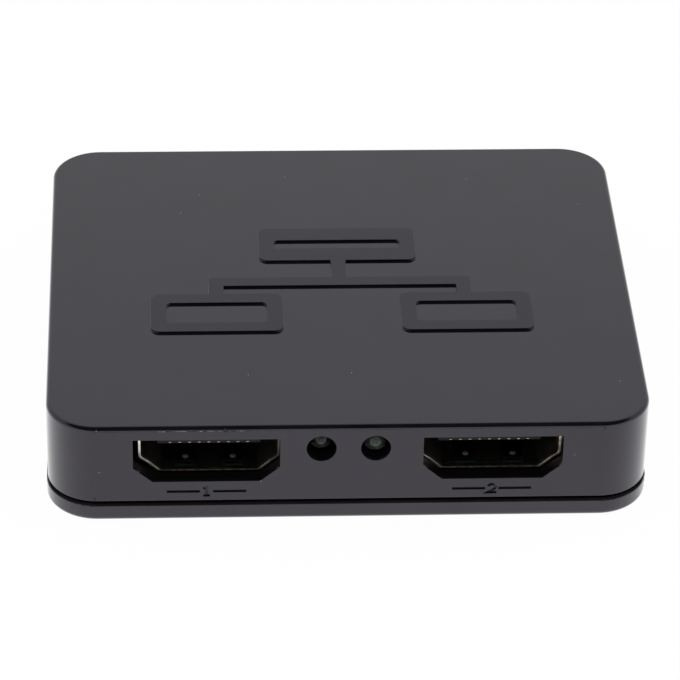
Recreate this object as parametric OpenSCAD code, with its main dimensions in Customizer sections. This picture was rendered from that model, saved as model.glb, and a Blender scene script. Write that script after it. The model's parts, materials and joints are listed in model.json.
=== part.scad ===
// Video splitter with one input and two outputs.
// A flat plastic case in two halves, screwed together from below round one circuit board.
// The origin is at the middle of the underside. The outputs face -Y, the input and the power
// socket face +Y, and +Z is up. All lengths are in millimetres.

/* [Case] */
// Thickness of the side walls
wall = 1.6; // [1.2:0.1:2.4]
// Thickness of the roof
roof_t = 1; // [0.8:0.1:2.4]
// Radius of the upright corners
corner_r = 5.2; // [4:0.1:9]
// Radius of the edge round the top face
top_edge_r = 0.45; // [0.1:0.05:0.8]
// Radius of the top cover's lower edge
foot_edge_r = 0.2; // [0.1:0.05:0.4]
// Height of the bottom cover's band, which is also its floor
base_h = 1.95; // [1.4:0.05:3]
// Radius of the edge round the underside
base_edge_r = 0.6; // [0.2:0.1:1]
// Radius of the bottom cover's upper edge
base_top_r = 0.1; // [0.05:0.05:0.3]
// How far the bottom cover stands out from the top cover's sides
base_out = 0.12; // [0:0.02:0.3]
// Height of the shadow gap between the covers
reveal = 0.4; // [0.2:0.1:1]
// Thickness of the locating rim inside the top cover
rim_t = 0.8; // [0.6:0.1:1.2]
// Height of the locating rim above the floor
rim_h = 1.2; // [1:0.1:2]
// Clearance between the locating rim and the top cover
rim_gap = 0.15; // [0.1:0.05:0.4]
// Free height above the video sockets
headroom = 0.75; // [0.6:0.05:6]
// Free length of board between the output and the input sockets
mid_room = 28.2; // [25:0.1:60]

/* [Case screws] */
// Diameter of the thread
screw_d = 2; // [1.6:0.1:2.6]
// Length under the head
screw_l = 6; // [4:0.1:8]
// Diameter of the head
head_d = 3.8; // [3.2:0.1:4.6]
// Height of the head
head_h = 1.2; // [0.8:0.1:1.6]
// Depth of the head below the underside
head_recess = 0.4; // [0.2:0.1:1]
// Clearance round the head
head_gap = 0.2; // [0.1:0.05:0.5]
// Width of the head's cross recess
cross_w = 0.55; // [0.3:0.05:0.8]
// Distance of the cross recess from the head's rim
cross_in = 0.65; // [0.4:0.05:0.9]
// Depth of the head's cross recess
cross_depth = 0.7; // [0.3:0.05:0.9]
// Thickness of the web that a head clamps
web_t = 2; // [1:0.1:3]
// Wall round a head in the bottom cover's post
post_wall = 0.8; // [0.6:0.1:1.5]
// Wall round a thread in the top cover's boss
boss_wall = 1.3; // [0.8:0.1:1.8]
// Clearance between a thread and its boss
thread_gap = 0.02; // [0.01:0.01:0.05]
// Free length of a boss's hole past the end of its screw
pilot_room = 0.5; // [0.2:0.1:1.5]
// Clearance between a thread and the post it passes through
shank_gap = 0.2; // [0.1:0.05:0.4]
// Gap between a post and the output socket beside it
post_gap = 1.05; // [0.5:0.05:8]

/* [Circuit board] */
// Thickness of the board
board_t = 1.6; // [1:0.1:2]
// Height of the supports under the board
standoff_h = 1.15; // [0.9:0.05:4]
// Clearance round the board's edge
board_gap = 0.45; // [0.2:0.05:1]
// Sideways play taken up by the board
board_shift = 0.1; // [0:0.05:0.3]
// Diameter of a board support
support_d = 3.2; // [2.4:0.1:4]
// Distance of the supports from the board's side edges
support_in = 3.5; // [2.5:0.1:5]
// Distance between the front and the back supports
support_pitch = 16; // [14:0.5:20]
// Diameter of a locating pin
pin_d = 1.5; // [1:0.1:2]
// Clearance round a locating pin
pin_gap = 0.1; // [0.05:0.05:0.3]
// Diameter of the roof's hold-down posts
hold_d = 2.4; // [1.6:0.1:3]
// Clearance under a hold-down post
hold_gap = 0.1; // [0.05:0.05:0.4]

/* [Video sockets] */
// Distance between the middles of the two outputs
port_pitch = 28.9; // [27:0.1:45]
// Sideways place of the input
input_x = 8; // [6:0.1:10]
// Inside width of a shell
port_w = 14; // [13.8:0.05:14.4]
// Inside height of a shell
port_h = 4.55; // [4.45:0.05:5]
// Inside width of the shell's floor
port_flat_w = 10; // [9.6:0.1:10.4]
// Inside width at the bend in the sloped side
port_bend_w = 12.4; // [12:0.1:12.8]
// Height of the bend in the sloped side
port_bend_h = 1.15; // [0.9:0.05:1.3]
// Height at which the sides turn upright
port_side_h = 1.7; // [1.5:0.05:2]
// Inside radius of the shell's bends
port_round = 0.45; // [0.2:0.05:0.6]
// Length of a shell
port_l = 11; // [10:0.1:14]
// Thickness of the shell's sheet
shell_t = 0.3; // [0.25:0.05:0.45]
// Gap between a shell's mouth and the case wall
mouth_gap = 0.3; // [0.1:0.05:0.8]
// How far the wall's two openings sit outwards of the output sockets
opening_out = 0.2; // [0:0.05:0.25]
// How far the wall's opening passes the sides of output 1, of output 2 and of the input
opening_side = [0.5, 0.15, 0.4]; // [0.1:0.05:0.8]
// How far the wall's opening passes a shell's floor
opening_below = 0.15; // [0.05:0.05:0.4]
// How far the wall's opening passes a shell's roof
opening_above = 0.5; // [0.2:0.05:0.6]
// Length of a shell's legs along the shell
leg_l = 1.5; // [1:0.1:2]
// Distance of the front legs from the mouth
leg_front = 3; // [2.5:0.1:4]
// Distance of the back legs from the shell's back
leg_back = 2.4; // [1.2:0.1:3]
// Clearance round a leg in the board
leg_gap = 0.15; // [0.1:0.05:0.3]
// How far legs and leads pass the board's underside
tail_l = 0.7; // [0.4:0.1:0.8]
// Width of the tongue
tongue_w = 10.6; // [10:0.1:11]
// Thickness of the tongue
tongue_t = 0.9; // [0.8:0.1:1.6]
// How far the tongue sits above the middle of its shell
tongue_up = 0.35; // [0:0.05:0.5]
// Distance of the tongue's tip from the mouth
tongue_in = 1.6; // [0.8:0.1:2]
// Length of the block behind the tongue
block_l = 3; // [2:0.1:4]
// Clearance between the block and its shell
block_gap = 0.03; // [0.02:0.01:0.1]
// Number of contacts
contact_n = 19; // [15:2:19]
// Distance between contacts
contact_pitch = 0.5; // [0.45:0.01:0.52]
// Width of a contact
contact_w = 0.3; // [0.2:0.01:0.34]
// Thickness of a contact
contact_t = 0.12; // [0.08:0.01:0.2]
// Clearance round a contact in its block
contact_gap = 0.02; // [0.01:0.01:0.03]
// Distance of the contacts' tips from the tongue's tip
contact_in = 0.05; // [0.05:0.05:1]
// Length of a contact's foot on the board
contact_foot = 1; // [0.6:0.1:1.5]

/* [Retention springs] */
// Width of a spring leaf
leaf_w = 1.8; // [1.2:0.1:2.2]
// Distance between the two leaves of a pair
leaf_pitch = 4.9; // [4:0.1:5.4]
// Distance of a leaf's tip from the mouth
leaf_in = 1; // [0.9:0.05:2]
// Distance of a leaf's root from the tongue's block
leaf_back = 0.4; // [0.3:0.05:1]
// How much thinner than the shell a leaf is
leaf_thin = 0.05; // [0.02:0.01:0.1]
// Angle at which a leaf slopes into the socket
leaf_slope = 4; // [3:0.25:5]
// Distance of the middle of a leaf's dimple from its tip
grip_in = 0.62; // [0.6:0.02:0.8]
// Height of a leaf's dimple
grip_h = 0.25; // [0.15:0.05:0.3]
// Diameter of a leaf's dimple
grip_w = 0.95; // [0.8:0.05:0.95]
// Clearance round a leaf in its window
leaf_gap = 0.2; // [0.1:0.05:0.3]
// Clearance behind a leaf's root
root_gap = 0.04; // [0.02:0.01:0.1]

/* [Power socket] */
// Sideways place of the power socket
power_x = -15; // [-17:0.1:-13]
// Inside width of its shell
inlet_w = 6.9; // [6.8:0.05:7.1]
// Inside height of its shell
inlet_h = 1.85; // [1.8:0.05:2.2]
// Inside width of its floor
inlet_flat_w = 5.4; // [5:0.1:5.8]
// Height at which its sides turn upright
inlet_side_h = 0.75; // [0.5:0.05:1]
// Inside radius of its bends
inlet_round = 0.2; // [0.1:0.05:0.3]
// Length of its shell
inlet_l = 6; // [5:0.1:7]
// Thickness of its sheet
inlet_t = 0.3; // [0.2:0.05:0.4]
// Distance of its mouth from the outside of the case
inlet_recess = 0.8; // [0.2:0.1:1.4]
// Clearance round its shell in the case wall
inlet_gap = 0.35; // [0.2:0.05:0.6]
// Distance of its legs from the mouth
inlet_leg = 4.1; // [3.8:0.1:4.6]
// Width of its tongue
inlet_tongue_w = 3.9; // [3.6:0.1:4.2]
// Thickness of its tongue
inlet_tongue_t = 0.6; // [0.4:0.05:0.8]
// Distance of its tongue from the mouth
inlet_tongue_in = 0.9; // [0.5:0.1:1.5]
// Height of its tongue above the floor
inlet_tongue_h = 0.9; // [0.8:0.05:1]
// Length of the block behind its tongue
inlet_block_l = 1.4; // [1:0.1:1.8]
// Number of its contacts
inlet_contact_n = 5; // [3:2:5]
// Distance between its contacts
inlet_contact_pitch = 0.65; // [0.6:0.01:0.7]

/* [Status lamps] */
// Distance between the two lamps
lamp_pitch = 5.55; // [5:0.05:7]
// Sideways place of the pair of lamps
lamp_shift = -0.15; // [-0.5:0.05:0.5]
// Diameter of a lamp's lens
lamp_d = 2.9; // [2.5:0.05:3.2]
// Clearance round a lens in the case wall
lamp_gap = 0.08; // [0.05:0.01:0.2]
// Distance of the two lenses from the outside of the case
lamp_recess = [1.15, 0.7]; // [0.5:0.05:1.5]
// Length of a lens with its flange
lamp_l = 5.3; // [4:0.1:6]
// How far the flange stands out from the lens
flange_out = 0.2; // [0.1:0.05:0.4]
// Thickness of the flange
flange_t = 1; // [0.6:0.1:1.4]
// Gap between a flange and the roof
lamp_headroom = 0.15; // [0.1:0.05:1]
// Thickness of a lead
lead_t = 0.5; // [0.4:0.05:0.6]
// Distance between a lamp's two leads
lead_pitch = 2.54; // [2:0.01:2.6]
// Length of a lead before it bends down
lead_bend = 1.2; // [0.8:0.1:2]
// Clearance round a lead in the board
lead_gap = 0.2; // [0.15:0.05:0.3]

/* [Parts on the board] */
// Width of the splitter chip
chip_w = 14; // [10:0.5:14]
// Thickness of the splitter chip
chip_h = 1.4; // [1:0.1:2]
// Gap under chips and regulators
chip_lift = 0.1; // [0.05:0.05:0.2]
// Pins on each side of the splitter chip
chip_pins = 16; // [8:1:17]
// Distance between the splitter chip's pins
chip_pitch = 0.8; // [0.7:0.05:0.85]
// Reach of the splitter chip's pins
chip_reach = 1; // [0.8:0.1:1.4]
// Distance of the splitter chip in front of the board's middle
chip_forward = 1.5; // [0:0.1:2]
// Distance of the clock crystal's middle from the board's left edge
crystal_in = 10; // [9.5:0.1:10.5]
// Distance of the memory chip's middle from the board's right edge
memory_in = 10.5; // [8:0.1:11]
// Distance of the memory chip behind the splitter chip's middle
memory_back = 1.5; // [0:0.1:3]
// Distance of the two regulators from the board's left edge
regulator_in = [10, 6.5]; // [6:0.1:10.5]
// Distance of the two regulators behind the splitter chip's middle
regulator_back = [6.9, 14.7]; // [6.5:0.1:15]
// Distance of the electrolytic capacitors beside the splitter chip's middle
can_side = 7.2; // [6.8:0.1:7.6]
// Distance of the electrolytic capacitors behind the splitter chip's middle
can_back = 16; // [15:0.1:17]
// Distance between the electrolytic capacitors
can_pitch = 4.8; // [4.6:0.1:5]
// Gap between the splitter chip's pins and the ceramic capacitors
ceramic_gap = 1.8; // [1:0.1:2]
// Distance between ceramic capacitors
ceramic_pitch = 3.5; // [3:0.1:3.6]
// Length of a resistor or ceramic capacitor
passive_l = 1.6; // [1:0.1:1.8]
// Width of a resistor or ceramic capacitor
passive_w = 0.8; // [0.5:0.1:1]
// Height of a ceramic capacitor
ceramic_h = 0.8; // [0.5:0.1:1.2]
// Height of a resistor
resistor_h = 0.5; // [0.3:0.1:0.8]
// Length of a metal end cap
end_l = 0.3; // [0.2:0.05:0.45]
// Distance between resistors
resistor_pitch = 2.4; // [2:0.1:2.6]
// Length of a surge array
surge_l = 2.5; // [2:0.1:2.6]
// Width of a surge array
surge_w = 1; // [0.8:0.1:1.2]
// Height of a surge array
surge_h = 0.5; // [0.4:0.1:0.8]
// Distance between the two surge arrays of a socket
surge_pitch = 4.4; // [3:0.1:4.6]
// Diameter of an electrolytic capacitor
can_d = 4; // [3:0.1:4.2]
// Height of an electrolytic capacitor above its base
can_h = 4.4; // [3:0.1:4.6]
// Width of an electrolytic capacitor's base
can_base_w = 4.3; // [4.25:0.05:4.5]
// Height of an electrolytic capacitor's base
can_base_h = 0.8; // [0.5:0.1:1]
// Length of the clock crystal's can
crystal_l = 10.2; // [8:0.1:11]
// Width of the clock crystal's can
crystal_w = 3.7; // [3:0.1:4]
// Height of the clock crystal
crystal_h = 3.5; // [2.5:0.1:4.5]
// How far the clock crystal's foot stands out
crystal_foot = 0.5; // [0.3:0.1:0.7]
// Thickness of the clock crystal's foot
crystal_foot_t = 0.5; // [0.3:0.1:0.8]
// Length of a voltage regulator
regulator_l = 6.5; // [5:0.1:6.8]
// Width of a voltage regulator
regulator_w = 3.5; // [3:0.1:3.6]
// Height of a voltage regulator
regulator_h = 1.6; // [1.2:0.1:2]
// Distance between a regulator's leads
regulator_pitch = 2.3; // [1.8:0.05:2.4]
// Reach of a regulator's leads
regulator_reach = 1.6; // [1:0.1:1.7]
// Length of the memory chip
memory_l = 4.9; // [4.5:0.1:5.2]
// Width of the memory chip
memory_w = 3.9; // [3.5:0.1:4.2]
// Height of the memory chip
memory_h = 1.5; // [1:0.1:1.8]
// Distance between the memory chip's leads
memory_pitch = 1.27; // [1.1:0.01:1.3]
// Reach of the memory chip's leads
memory_reach = 1.05; // [0.8:0.05:1.4]

/* [Marks] */
// Height of the raised diagram on the roof
relief_h = 0.25; // [0.1:0.05:0.5]
// Stroke of the diagram's screens
relief_stroke = 1.7; // [1:0.1:2]
// Width of the diagram's lines
relief_line = 1.6; // [1:0.1:2.4]
// Width of a screen in the diagram
screen_w = 14; // [10:0.5:16]
// Depth of a screen in the diagram
screen_d = 7.1; // [6:0.1:8]
// Distance between the diagram's screens
screen_pitch = 26.5; // [20:0.5:30]
// Width of the source box in the diagram
source_w = 17; // [10:0.5:24]
// Depth of the source box in the diagram
source_d = 6.4; // [5:0.1:8]
// Distance of the diagram's branch from its screens
branch_gap = 2.3; // [2:0.1:4]
// Distance of the diagram's branch from its source box
stem_l = 4.1; // [2:0.1:6]
// Depth of the engraved marks on the walls
mark_depth = 0.25; // [0.05:0.05:0.3]
// Height of the engraved numerals
mark_h = 1.35; // [1:0.05:1.5]
// Stroke of the engraved marks
mark_stroke = 0.3; // [0.2:0.02:0.34]
// Length of the engraved bars beside a numeral
mark_bar = 3.4; // [1:0.1:3.6]

/* [Hidden] */
$fn = 64;

case_colour = "#4c4b50";
metal_colour = "#b8b2a4";
gold_colour = "#c9a85c";
tin_colour = "#b4b6b8";
black_colour = "#1b1b1d";

// Overlap of shapes that make one solid, and how far a cut passes the face it opens
fuse = 0.1;
past = 1;

// Heights, from the underside up
cover_z = base_h + reveal;
board_z = base_h + standoff_h;
board_top = board_z + board_t;
port_z = board_top + shell_t;
ceiling = port_z + port_h + shell_t + headroom;
case_h = ceiling + roof_t;
seat_z = head_recess + head_h;
post_top = seat_z + web_t;
lamp_z = ceiling - lamp_headroom - flange_out - lamp_d / 2;
mark_z = (cover_z + port_z - opening_below) / 2;

// Plan of the case: the screw posts stand beside the outputs and in the corners
post_r = head_d / 2 + head_gap + post_wall;
boss_r = screw_d / 2 + boss_wall;
post_in = max(corner_r, wall + rim_gap + post_r);
post_x = port_pitch / 2 + board_shift + port_w / 2 + shell_t + post_gap + post_r;
case_w = 2 * (post_x + post_in);
case_d = 2 * (wall + mouth_gap + port_l) + mid_room;
post_y = case_d / 2 - post_in;
mouth_y = case_d / 2 - wall - mouth_gap;

// Plan of the board
board_in = wall + rim_gap + rim_t + board_gap;
board_w = case_w - 2 * board_in;
board_d = case_d - 2 * board_in;
support_x = board_w / 2 - support_in;
chip_at = [board_shift, -chip_forward];
board_left = board_shift - board_w / 2;
board_right = board_shift + board_w / 2;
crystal_at = [board_left + crystal_in, chip_at.y];
memory_at = [board_right - memory_in, chip_at.y + memory_back];
regulator_places = [for (i = [0, 1]) [board_left + regulator_in[i], chip_at.y + regulator_back[i]]];
can_places = [for (side = [-1, 1]) chip_at + [side * can_pitch / 2 - can_side, can_back]];
board_r = 1;
chip_pin_t = 0.15;
chip_pin_w = 0.3;
regulator_lead_t = 0.25;
regulator_lead_w = 0.7;
regulator_tab_w = 3;
memory_lead_t = 0.2;
memory_lead_w = 0.4;
memory_leads = 4;
ceramic_out = chip_w / 2 + chip_reach + ceramic_gap + passive_w / 2;
ceramic_n = 3;
resistor_n = 4;

// Sockets, measured from the mouth inwards and from the shell's floor up
leaf_t = shell_t - leaf_thin;
leaf_root = port_l - block_l - leaf_back;
leaf_l = leaf_root - leaf_in - leaf_t / 2;
dimple_r = (grip_w * grip_w / 4 + grip_h * grip_h) / (2 * grip_h);
tongue_z = port_h / 2 + tongue_up;
tail_gap = 0.3;
tail_in = port_l + tail_gap + contact_t / 2;
surge_room = 1.9;
surge_in = tail_in + contact_foot + surge_room;
resistor_room = 2;
resistor_in = surge_in + resistor_room;
leg_places = [leg_front, port_l - leg_back];
opening_x = port_pitch / 2 + opening_out;

// Power socket, measured in the same way
inlet_tail_in = inlet_l + tail_gap + contact_t / 2;
inlet_contact_z = inlet_tongue_h + contact_t / 2;

// Status lamps
function lamp_x(side) = lamp_shift + side * lamp_pitch / 2;

function lamp_back(side) = lamp_recess[side < 0 ? 0 : 1] + lamp_l - case_d / 2;

// Outlines

function left_of(a, b) = let(d = (b - a) / norm(b - a)) [-d.y, d.x];

function mitre(a, b) = (a + b) / (1 + a * b);

// Closed outline moved outwards by t
function grown(points, t) = [
    for (i = [0 : len(points) - 1])
        let(
            n = len(points),
            a = left_of(points[(i + n - 1) % n], points[i]),
            b = left_of(points[i], points[(i + 1) % n])
        )
        points[i] - t * mitre(a, b)
];

// Closed outline with every corner turned into an arc of radius r
function rounded(points, r, steps = 4) = [
    for (i = [0 : len(points) - 1])
        let(
            n = len(points),
            p = points[i],
            back = points[(i + n - 1) % n] - p,
            ahead = points[(i + 1) % n] - p,
            a = back / norm(back),
            b = ahead / norm(ahead),
            half = acos(a * b) / 2,
            middle = p + (a + b) / norm(a + b) * r / sin(half),
            first = p + a * r / tan(half) - middle,
            last = p + b * r / tan(half) - middle,
            turn = 180 - 2 * half
        )
        for (s = [0 : steps])
            middle + (first * sin(turn * (1 - s / steps)) + last * sin(turn * s / steps)) / sin(turn)
];

// Outline of a strip of thickness t along a path
function side_step(path, i) =
    i == 0 ? left_of(path[0], path[1])
    : i == len(path) - 1 ? left_of(path[i - 1], path[i])
    : mitre(left_of(path[i - 1], path[i]), left_of(path[i], path[i + 1]));

function ribbon(path, t) = concat(
    [for (i = [0 : len(path) - 1]) path[i] - side_step(path, i) * t / 2],
    [for (i = [len(path) - 1 : -1 : 0]) path[i] + side_step(path, i) * t / 2]
);

// Outline from the points of its right side, bottom to top
function both_sides(right) = concat(
    right,
    [for (i = [len(right) - 1 : -1 : 0]) [-right[i].x, right[i].y]]
);

port_outline = both_sides([
    [port_flat_w / 2, 0],
    [port_bend_w / 2, port_bend_h],
    [port_w / 2, port_side_h],
    [port_w / 2, port_h]
]);

function opening_outline(gap) = both_sides([
    [port_flat_w / 2 + gap, -opening_below],
    [port_w / 2 + gap, port_side_h - opening_below],
    [port_w / 2 + gap, port_h + opening_above]
]);

inlet_outline = both_sides([
    [inlet_flat_w / 2, 0],
    [inlet_w / 2, inlet_side_h],
    [inlet_w / 2, inlet_h]
]);

// Shared shapes

module rounded_rect(w, d, r) {
    square([w - 2 * r, d], center = true);
    square([w, d - 2 * r], center = true);
    for (x = [-1, 1], y = [-1, 1])
        translate([x * (w / 2 - r), y * (d / 2 - r)]) circle(r);
}

module edge_profile(half, h, edge, foot) {
    translate([0, foot]) square([half, h - edge - foot]);
    translate([0, foot]) square([half - edge, h - foot]);
    square([half - foot, h - edge]);
    translate([half - edge, h - edge]) circle(edge);
    translate([half - foot, foot]) circle(foot);
}

// Block with round upright corners and rounded edges round its top and its foot
module edged_block(w, d, h, r, edge, foot) {
    for (x = [-1, 1], y = [-1, 1])
        translate([x * (w / 2 - r), y * (d / 2 - r), 0])
            rotate_extrude() edge_profile(r, h, edge, foot);
    rotate([90, 0, 90]) linear_extrude(w - 2 * r, center = true)
        for (side = [0, 1]) mirror([side, 0]) edge_profile(d / 2, h, edge, foot);
    rotate([90, 0, 0]) linear_extrude(d - 2 * r, center = true)
        for (side = [0, 1]) mirror([side, 0]) edge_profile(w / 2, h, edge, foot);
}

// An upright outline (width, height) carried inwards from depth a to depth b
module along(a, b) {
    translate([0, b, 0]) rotate([90, 0, 0]) linear_extrude(b - a) children();
}

// A bent strip: its path is (depth, height) and its width lies across
module strip(path, t, w) {
    rotate([90, 0, 90]) linear_extrude(w, center = true) polygon(ribbon(path, t));
}

// A lead that leaves a package at height rise, half away from its middle, and stands on the board
module gull_lead(half, rise, reach, t, w) {
    knee = 0.3 * reach;
    heel = 0.45 * reach;
    translate([0, half, 0]) strip([[0, rise], [knee, rise], [heel, t / 2], [reach, t / 2]], t, w);
}

// A box centred over its place, standing on the board
module board_box(w, d, h, lift = 0) {
    translate([-w / 2, -d / 2, lift]) cube([w, d, h]);
}

// Places

module at_posts() {
    for (x = [-post_x, post_x], y = [-post_y, post_y]) translate([x, y, 0]) children();
}

module at_supports() {
    for (x = [-support_x, support_x], y = [-support_pitch / 2, support_pitch / 2])
        translate([x, y, 0]) children();
}

module at_pins() {
    for (side = [-1, 1]) translate([side * support_x, side * support_pitch / 2, 0]) children();
}

module at_output(side) {
    translate([side * port_pitch / 2 + board_shift, -mouth_y, port_z]) children();
}

module at_input() {
    translate([input_x, mouth_y, port_z]) rotate(180) children();
}

module at_sockets() {
    at_output(-1) children();
    at_output(1) children();
    at_input() children();
}

module at_power() {
    translate([power_x, case_d / 2 - inlet_recess, board_top + inlet_t]) rotate(180) children();
}

module at_lamp(side) {
    translate([lamp_x(side), 0, lamp_z]) children();
}

module on_board(place) {
    translate([place.x, place.y, board_top]) children();
}

// Marks

// One source box that branches to two screens
module splitter_diagram() {
    box_r = 1;
    window_r = 0.5;
    diagram_d = screen_d + branch_gap + stem_l + source_d;
    screen_y = (screen_d - diagram_d) / 2;
    branch_y = screen_y + screen_d / 2 + branch_gap;
    source_y = branch_y + stem_l + source_d / 2;
    for (side = [-1, 1]) translate([side * screen_pitch / 2, screen_y]) {
        difference() {
            rounded_rect(screen_w, screen_d, box_r);
            rounded_rect(screen_w - 2 * relief_stroke, screen_d - 2 * relief_stroke, window_r);
        }
        translate([0, screen_d / 2 + branch_gap / 2]) square([relief_line, branch_gap + fuse], center = true);
    }
    translate([0, branch_y]) rounded_rect(screen_pitch + relief_line, relief_line, relief_line / 4);
    translate([0, branch_y + stem_l / 2]) square([relief_line, stem_l + fuse], center = true);
    translate([0, source_y]) difference() {
        rounded_rect(source_w, source_d, box_r);
        rounded_rect(source_w - 2 * relief_stroke, relief_line, relief_line / 4);
    }
}

module numeral_one() {
    flag = mark_h / 4;
    polygon(ribbon([[-flag, mark_h - flag], [0, mark_h - mark_stroke / 2], [0, 0]], mark_stroke));
    translate([0, mark_stroke / 2]) square([2 * flag, mark_stroke], center = true);
}

module numeral_two() {
    bow = 0.27 * mark_h;
    bow_from = 165;
    bow_to = -35;
    bow_y = mark_h - bow - mark_stroke / 2;
    bow_path = [for (a = [bow_from : -25 : bow_to]) [bow * cos(a), bow_y + bow * sin(a)]];
    foot_path = [[-bow, mark_stroke / 2], [bow + mark_stroke / 2, mark_stroke / 2]];
    polygon(ribbon(concat(bow_path, foot_path), mark_stroke));
}

module side_bars() {
    for (side = [-1, 1])
        translate([side * (mark_h + mark_bar) / 2, mark_h / 2])
            square([mark_bar, mark_stroke], center = true);
}

module inward_mark() {
    polygon([[-mark_h / 2, 0], [mark_h / 2, 0], [0, mark_h]]);
    side_bars();
}

// A long bar over three short ones
module direct_current_mark() {
    bar_rise = 0.7 * mark_h;
    dash_rise = 0.3 * mark_h;
    dash_pitch = 0.75 * mark_h;
    translate([0, bar_rise]) square([2 * mark_h, mark_stroke], center = true);
    for (i = [-1, 0, 1])
        translate([i * dash_pitch, dash_rise]) square([mark_h / 2, mark_stroke], center = true);
}

// A mark cut into the front wall, with its foot at height z
module front_cut(x, z) {
    translate([x, -case_d / 2 + mark_depth, z]) rotate([90, 0, 0])
        linear_extrude(mark_depth + past) children();
}

// Case

module top_cover() color(case_colour) {
    cavity_h = ceiling - cover_z;
    difference() {
        union() {
            difference() {
                translate([0, 0, cover_z])
                    edged_block(case_w, case_d, case_h - cover_z, corner_r, top_edge_r, foot_edge_r);
                translate([0, 0, cover_z - past]) linear_extrude(cavity_h + past)
                    rounded_rect(case_w - 2 * wall, case_d - 2 * wall, corner_r - wall);
            }
            at_posts() translate([0, 0, post_top]) cylinder(h = ceiling - post_top + fuse, r = boss_r);
            at_supports() translate([0, 0, board_top + hold_gap])
                cylinder(h = ceiling - board_top - hold_gap + fuse, d = hold_d);
            translate([0, 0, case_h - fuse]) linear_extrude(relief_h + fuse) splitter_diagram();
        }
        at_posts() translate([0, 0, post_top - past])
            cylinder(h = seat_z + screw_l + pilot_room - post_top + past, d = screw_d + 2 * thread_gap);
        for (i = [0, 1]) {
            side = 2 * i - 1;
            translate([side * opening_x, -mouth_y, port_z]) port_opening(opening_side[i]);
            at_lamp(side) translate([0, -case_d / 2 + wall + past, 0]) rotate([90, 0, 0])
                cylinder(h = wall + 2 * past, d = lamp_d + 2 * lamp_gap);
        }
        at_input() port_opening(opening_side[2]);
        at_power() along(-inlet_recess - past, wall - inlet_recess + past)
            inlet_face(inlet_t + inlet_gap);
        front_cut(-opening_x, mark_z - mark_h / 2) {
            numeral_one();
            side_bars();
        }
        front_cut(opening_x, mark_z - mark_h / 2) {
            numeral_two();
            side_bars();
        }
        rotate(180) {
            front_cut(-input_x, mark_z - mark_h / 2) inward_mark();
            front_cut(-power_x, mark_z - mark_h / 2) direct_current_mark();
        }
    }
}

module port_opening(gap) {
    along(-mouth_gap - wall - past, -mouth_gap + past) polygon(opening_outline(gap));
}

module bottom_cover() color(case_colour) {
    inner_w = case_w - 2 * (wall + rim_gap);
    inner_d = case_d - 2 * (wall + rim_gap);
    inner_r = corner_r - wall - rim_gap;
    difference() {
        union() {
            translate([0, 0, base_h]) mirror([0, 0, 1])
                edged_block(case_w + 2 * base_out, case_d + 2 * base_out, base_h,
                    corner_r + base_out, base_edge_r, base_top_r);
            translate([0, 0, base_h - fuse]) linear_extrude(rim_h + fuse) difference() {
                rounded_rect(inner_w, inner_d, inner_r);
                rounded_rect(inner_w - 2 * rim_t, inner_d - 2 * rim_t, inner_r - rim_t);
            }
            at_posts() translate([0, 0, base_h - fuse]) cylinder(h = post_top - base_h + fuse, r = post_r);
            at_supports() translate([0, 0, base_h - fuse]) cylinder(h = standoff_h + fuse, d = support_d);
            at_pins() translate([0, 0, base_h - fuse]) cylinder(h = standoff_h + board_t + fuse, d = pin_d);
        }
        at_posts() {
            translate([0, 0, -past]) cylinder(h = seat_z + past, r = head_d / 2 + head_gap);
            cylinder(h = post_top + past, d = screw_d + 2 * shank_gap);
        }
    }
}

module case_screws() color(tin_colour) at_posts() {
    tip_l = screw_d / 2;
    cross_l = head_d - 2 * cross_in;
    difference() {
        translate([0, 0, head_recess]) cylinder(h = head_h, d = head_d);
        for (turn = [0, 90]) rotate(turn)
            translate([-cross_l / 2, -cross_w / 2, head_recess - past])
                cube([cross_l, cross_w, cross_depth + past]);
    }
    translate([0, 0, seat_z - fuse]) cylinder(h = screw_l - tip_l + fuse, d = screw_d);
    translate([0, 0, seat_z + screw_l - tip_l]) cylinder(h = tip_l, d1 = screw_d, d2 = screw_d / 3);
}

// Board and the parts on it

module leg_slots() {
    for (side = [-1, 1], v = leg_places)
        translate([side * (port_w + shell_t) / 2, v])
            square([shell_t + 2 * leg_gap, leg_l + 2 * leg_gap], center = true);
}

module circuit_board() color("#1f5a3a") translate([0, 0, board_z]) linear_extrude(board_t) difference() {
    translate([board_shift, 0]) rounded_rect(board_w, board_d, board_r);
    at_posts() circle(post_r + board_gap);
    at_pins() circle(d = pin_d + 2 * pin_gap);
    for (side = [-1, 1]) {
        translate([side * port_pitch / 2 + board_shift, -mouth_y]) leg_slots();
        for (lead = [-1, 1])
            translate([lamp_x(side) + lead * lead_pitch / 2, lamp_back(side) + lead_bend])
                circle(d = lead_t * sqrt(2) + 2 * lead_gap);
    }
    translate([input_x, mouth_y]) rotate(180) leg_slots();
    for (side = [-1, 1])
        translate([power_x + side * (inlet_w + inlet_t) / 2, case_d / 2 - inlet_recess - inlet_leg])
            square([inlet_t + 2 * leg_gap, leg_l + 2 * leg_gap], center = true);
}

module splitter_chip() color(black_colour) on_board(chip_at) board_box(chip_w, chip_w, chip_h, chip_lift);

module splitter_chip_pins() color(tin_colour) on_board(chip_at)
    for (turn = [0 : 90 : 270], i = [0 : chip_pins - 1])
        rotate(turn) translate([(i - (chip_pins - 1) / 2) * chip_pitch, 0, 0])
            gull_lead(chip_w / 2, chip_lift + chip_h / 2, chip_reach, chip_pin_t, chip_pin_w);

module clock_crystal() color(metal_colour) on_board(crystal_at) {
    linear_extrude(crystal_foot_t)
        rounded_rect(crystal_l + 2 * crystal_foot, crystal_w + 2 * crystal_foot, crystal_w / 2);
    linear_extrude(crystal_h) rounded_rect(crystal_l, crystal_w, crystal_w / 2 - fuse);
}

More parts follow.
